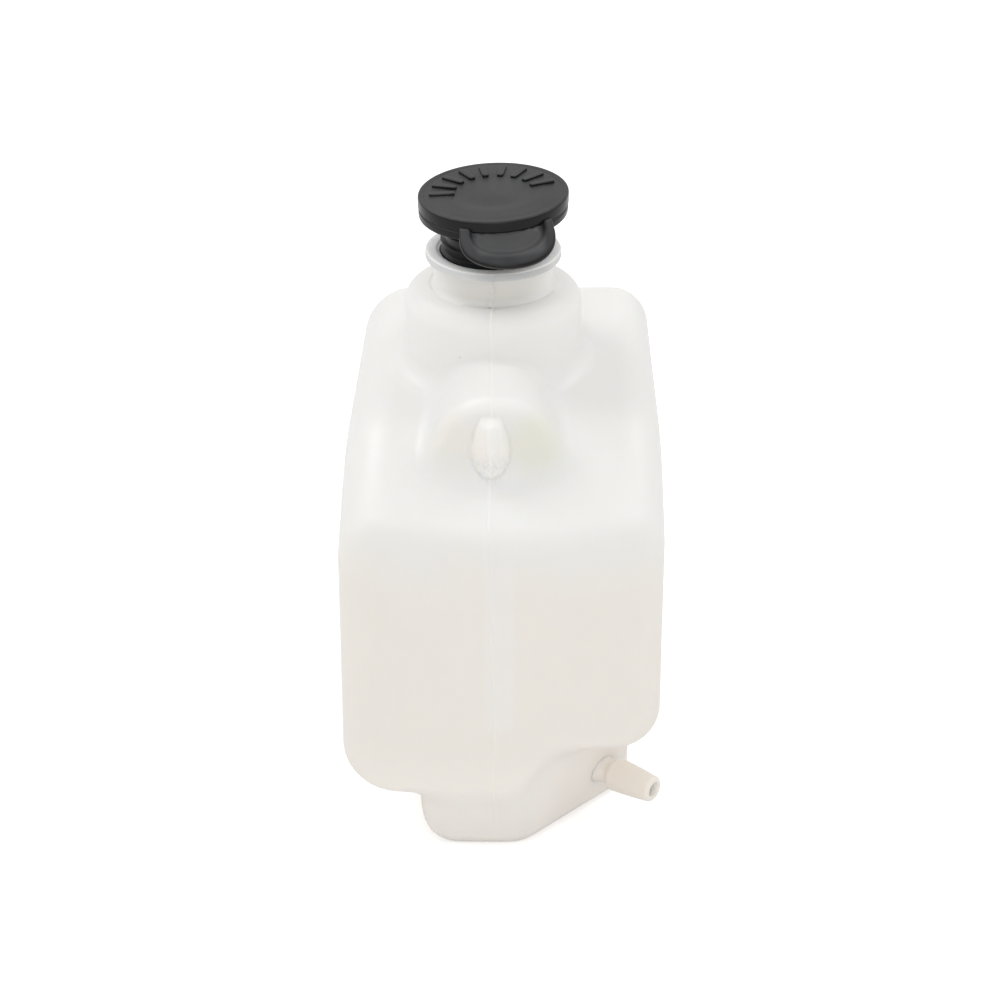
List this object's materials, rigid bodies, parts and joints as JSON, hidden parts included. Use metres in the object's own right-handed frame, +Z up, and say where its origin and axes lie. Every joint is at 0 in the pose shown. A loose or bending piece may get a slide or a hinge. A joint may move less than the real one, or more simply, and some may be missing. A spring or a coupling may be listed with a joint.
{
  "type": "coolant expansion tank",
  "caption": "Translucent blow-moulded coolant expansion tank with a stepped sump, hose nipple, collared filler neck and pull-off plug cap.",
  "frame": {"origin": "on the foot's plane, below the filler neck's axis and on the mould's parting plane", "axes": "+Z up along the filler neck's axis, -Y towards the front face, X across the tank with +X on the nipple's side"},
  "size_m": [0.1089, 0.1342, 0.2135],
  "materials": {
    "milky_plastic": "translucent natural polyethylene, smooth with a faint haze",
    "black_rubber": "semi-matte moulded rubber"
  },
  "bodies": {
    "tank": {"tank_body": "milky_plastic", "outlet_nipple": "milky_plastic"},
    "cap": {"filler_cap": "black_rubber"}
  },
  "joints": [
    {"name": "cap_lift", "type": "slide", "parent": "tank", "child": "cap", "axis": [0, 0, 1], "range_m": [-0.0122, 0.03]}
  ]
}
